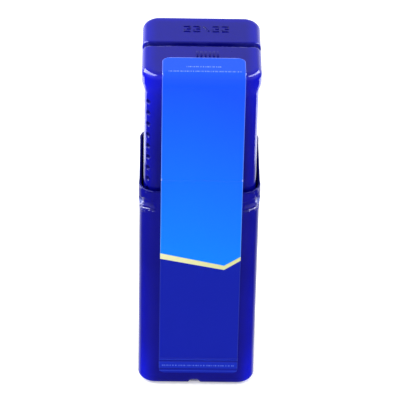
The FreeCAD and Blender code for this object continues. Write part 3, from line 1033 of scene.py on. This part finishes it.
# %% Printed film
def printed_film():
    """Navy below, azure above, a stripe between them, dashes and pale cut edges.

    Varnished polypropylene: IOR 1.49, smooth, its gloss a little under full.
    """
    material, tree = new_material("printed_polypropylene_film")
    film = node(tree, "ShaderNodeUVMap", uv_map="film")
    apart = node(tree, "ShaderNodeSeparateXYZ", {"Vector": film})
    across, along = apart.outputs["X"], apart.outputs["Y"]
    within, above = stripe_masks(tree, across, along)

    from_middle = node(tree, "ShaderNodeMath", {0: across, 1: film_across / 2},
                       operation="SUBTRACT")
    away = node(tree, "ShaderNodeMath", {0: from_middle}, operation="ABSOLUTE")
    from_edge = node(tree, "ShaderNodeMath", {0: film_across / 2, 1: away},
                     operation="SUBTRACT")
    inner = step_up(tree, from_edge, 0.25, 0.2)
    rim = node(tree, "ShaderNodeMath", {0: 1.0, 1: inner}, operation="SUBTRACT")
    pale = node(tree, "ShaderNodeMath", {0: within, 1: 0.2, 2: 0.04},
                operation="MULTIPLY_ADD")
    pale_rim = node(tree, "ShaderNodeMath", {0: rim, 1: pale}, operation="MULTIPLY")
    at_edge = node(tree, "ShaderNodeMath", {0: from_edge, 1: 0.4}, operation="LESS_THAN")
    at_cut = band(tree, along, cut_along, 0.3)
    nick = node(tree, "ShaderNodeMath", {0: at_cut, 1: at_edge}, operation="MULTIPLY")

    print_and_painted_light = [(within, 1.0, stripe_ink(tree, across)),
            (above, 1.0, azure_ink(tree, across, along)),
            # A painted highlight over the bead's crown, then painted highlight and shade along
            # its ridges.
            (band(tree, along, bead_along, 1.5), 0.3, linear("#1C3CD8"))]
    print_and_painted_light += [(band(tree, along, bead_along + offset, 0.22), strength, linear(tone))
             for offset, tone, strength in bead_painted_light]
    print_and_painted_light += [(dashes(tree, across, along, row), row[-1], linear("#7FA4FF"))
             for row in dash_rows]
    print_and_painted_light += [(pale_rim, 1.0, linear("#A8BCFF")),
             (step_up(tree, along, film_end - 0.3, 0.2), 0.35, linear("#A8BCFF")),
             (nick, 0.6, linear("#B8C8FF"))]
    colour = linear("#0A1CA4")
    for mask, strength, tone in print_and_painted_light:
        share = node(tree, "ShaderNodeMath", {0: mask, 1: strength}, operation="MULTIPLY")
        colour = node(tree, "ShaderNodeMix", {"Factor": share, "A": colour, "B": tone},
                      data_type="RGBA")
    shader = node(tree, "ShaderNodeBsdfPrincipled", {
        "Base Color": colour,
        "Roughness": 0.12,
        "IOR": 1.49,
        "Specular IOR Level": 0.36})
    node(tree, "ShaderNodeOutputMaterial", {"Surface": shader})
    print(len(print_and_painted_light), "print_and_painted_light")
    return material


film_material = printed_film()
for piece in (upper_film, lower_film):
    piece.data.materials.append(film_material)

# %% [markdown]
# ## Floor, light and camera
#
# The floor is plain and pale. A glossy dark object shows what stands round it
# more than its own colour, and a bright floor mirrored in it would wash the
# blue out, so the floor is left out of its reflections.
#
# For the same reason each lamp does one job. The fills light the plastic and
# aren't mirrored. The strips and the standing cards are only mirrored: the
# strips draw the highlights on the head's edge, and the cards, low behind the
# case, the thin bright lines down its corners.

# %% Floor
def build_floor():
    """A pale square under the case, a little bright of itself."""
    size = 4.0
    mesh = bpy.data.meshes.new("floor")
    mesh.from_pydata([(-size, -size, 0), (size, -size, 0), (size, size, 0), (-size, size, 0)],
                     [], [(0, 1, 2, 3)])
    piece = bpy.data.objects.new("floor", mesh)
    bpy.context.scene.collection.objects.link(piece)
    material, tree = new_material("pale_floor")
    shader = node(tree, "ShaderNodeBsdfPrincipled", {
        "Base Color": linear("#F4F4F2"),
        "Roughness": 0.9,
        "Emission Color": linear("#FFFFFF"),
        "Emission Strength": 0.4})
    node(tree, "ShaderNodeOutputMaterial", {"Surface": shader})
    mesh.materials.append(material)
    piece.visible_glossy = False
    return piece


floor = build_floor()

# %% Lamps
middle = Vector((0, 0, top_z / 2))
cool_white = (0.8, 0.82, 1.0)
plain_white = (1.0, 1.0, 1.0)


def strip_light(name, start, stop, width, power, mirrored):
    """A long soft box that faces the object, either mirrored in it or lighting it."""
    start, stop = Vector(start), Vector(stop)
    centre = (start + stop) / 2
    back = (centre - middle).normalized()
    along = (stop - start).normalized()
    along = (along - back * along.dot(back)).normalized()
    lamp = bpy.data.lights.new(name, "AREA")
    lamp.shape = "RECTANGLE"
    lamp.size = (stop - start).length
    lamp.size_y = width
    lamp.energy = power
    lamp.color = cool_white if mirrored else plain_white
    holder = bpy.data.objects.new(name, lamp)
    turn = Matrix((along, back.cross(along), back)).transposed().to_4x4()
    holder.matrix_world = Matrix.Translation(centre) @ turn
    holder.visible_camera = False
    holder.visible_glossy = mirrored
    holder.visible_diffuse = not mirrored
    bpy.context.scene.collection.objects.link(holder)


def card(name, x, y, width, power):
    """A small upright card behind the case, mirrored only in the upper sleeve's corner."""
    strip_light(name, (x, y, 0.02), (x, y, 0.075), width, power, True)


strip_light("left_fill", (-0.40, -0.42, 0.78), (-0.70, 0.40, 0.36), 0.4, 5.0, False)
strip_light("right_fill", (0.42, -0.36, 0.78), (0.70, 0.36, 0.40), 0.4, 3.2, False)
strip_light("left_strip", (-0.28, -0.44, 0.84), (-0.66, 0.62, 0.30), 0.34, 14.0, True)
strip_light("right_strip", (0.34, -0.40, 0.82), (0.66, 0.60, 0.32), 0.22, 8.0, True)
card("left_card", -0.139, 0.050, 0.034, 0.024)
card("right_card", 0.138, 0.055, 0.032, 0.022)
card("left_rear", -0.098, 0.096, 0.08, 0.025)
card("right_rear", 0.098, 0.096, 0.08, 0.018)
print(len(bpy.data.lights), "lamps")


# %% Room
def build_world():
    """A room that is bright behind and above, and dark low in front."""
    world = bpy.data.worlds.new("studio")
    bpy.context.scene.world = world
    world.use_nodes = True
    tree = world.node_tree
    direction = node(tree, "ShaderNodeTexCoord").outputs["Generated"]
    apart = node(tree, "ShaderNodeSeparateXYZ", {"Vector": direction})
    sideways = node(tree, "ShaderNodeMath", {0: apart.outputs["X"]}, operation="ABSOLUTE")
    back, up, side = [
        node(tree, "ShaderNodeMapRange", {"Value": value, "From Min": low, "From Max": high},
             interpolation_type="SMOOTHSTEP")
        for value, low, high in ((apart.outputs["Y"], 0.2, 0.8), (apart.outputs["Z"], -0.2, 0.4),
                                 (sideways, 0.55, 0.95))]
    # Brightness from front to back, low down and high up, and to the sides from low to high.
    low = node(tree, "ShaderNodeMix", {"Factor": back, "A": 0.13, "B": 1.3})
    high = node(tree, "ShaderNodeMix", {"Factor": back, "A": 0.55, "B": 0.46})
    ahead = node(tree, "ShaderNodeMix", {"Factor": up, "A": low, "B": high})
    beside = node(tree, "ShaderNodeMix", {"Factor": up, "A": 0.06, "B": 0.9})
    level = node(tree, "ShaderNodeMix", {"Factor": side, "A": ahead, "B": beside})
    background = tree.nodes["Background"]
    background.inputs["Color"].default_value = linear("#FFFFFF")
    tree.links.new(level.outputs["Result"], background.inputs["Strength"])


build_world()

# %% [markdown]
# ### Camera
#
# The camera stands 1.1 m away, almost in line with the front and 33.5 degrees
# up, so the top, the front and the rim all show. Its lens is worked out from how
# wide a strip it should see at the case, here 161 mm. View colours stay as they
# are, because the usual film-like curve would grey the blue.

# %% Camera
sensor_width = 36.0
seen_width = 160.7071 * MM


def place_camera(target, distance, turn, height, roll):
    """Camera on a sphere round the target; angles are in degrees."""
    turn, height = math.radians(turn), math.radians(height)
    out = Vector((math.sin(turn) * math.cos(height), -math.cos(turn) * math.cos(height),
                  math.sin(height)))
    lens = bpy.data.cameras.new("camera")
    camera = bpy.data.objects.new("camera", lens)
    bpy.context.scene.collection.objects.link(camera)
    look = (-out).to_track_quat("-Z", "Y").to_matrix().to_4x4()
    camera.matrix_world = (Matrix.Translation(Vector(target) + out * distance) @ look
                           @ Matrix.Rotation(math.radians(roll), 4, "Z"))
    lens.sensor_width = sensor_width
    lens.lens = distance * sensor_width / seen_width
    lens.clip_start = 0.05
    bpy.context.scene.camera = camera
    return camera


camera = place_camera((0.55 * MM, 0, 75.0 * MM), 1.1, -0.93, 33.5, 1.2)
bpy.context.scene.view_settings.view_transform = "Standard"
print("lens %.0f mm" % camera.data.lens)
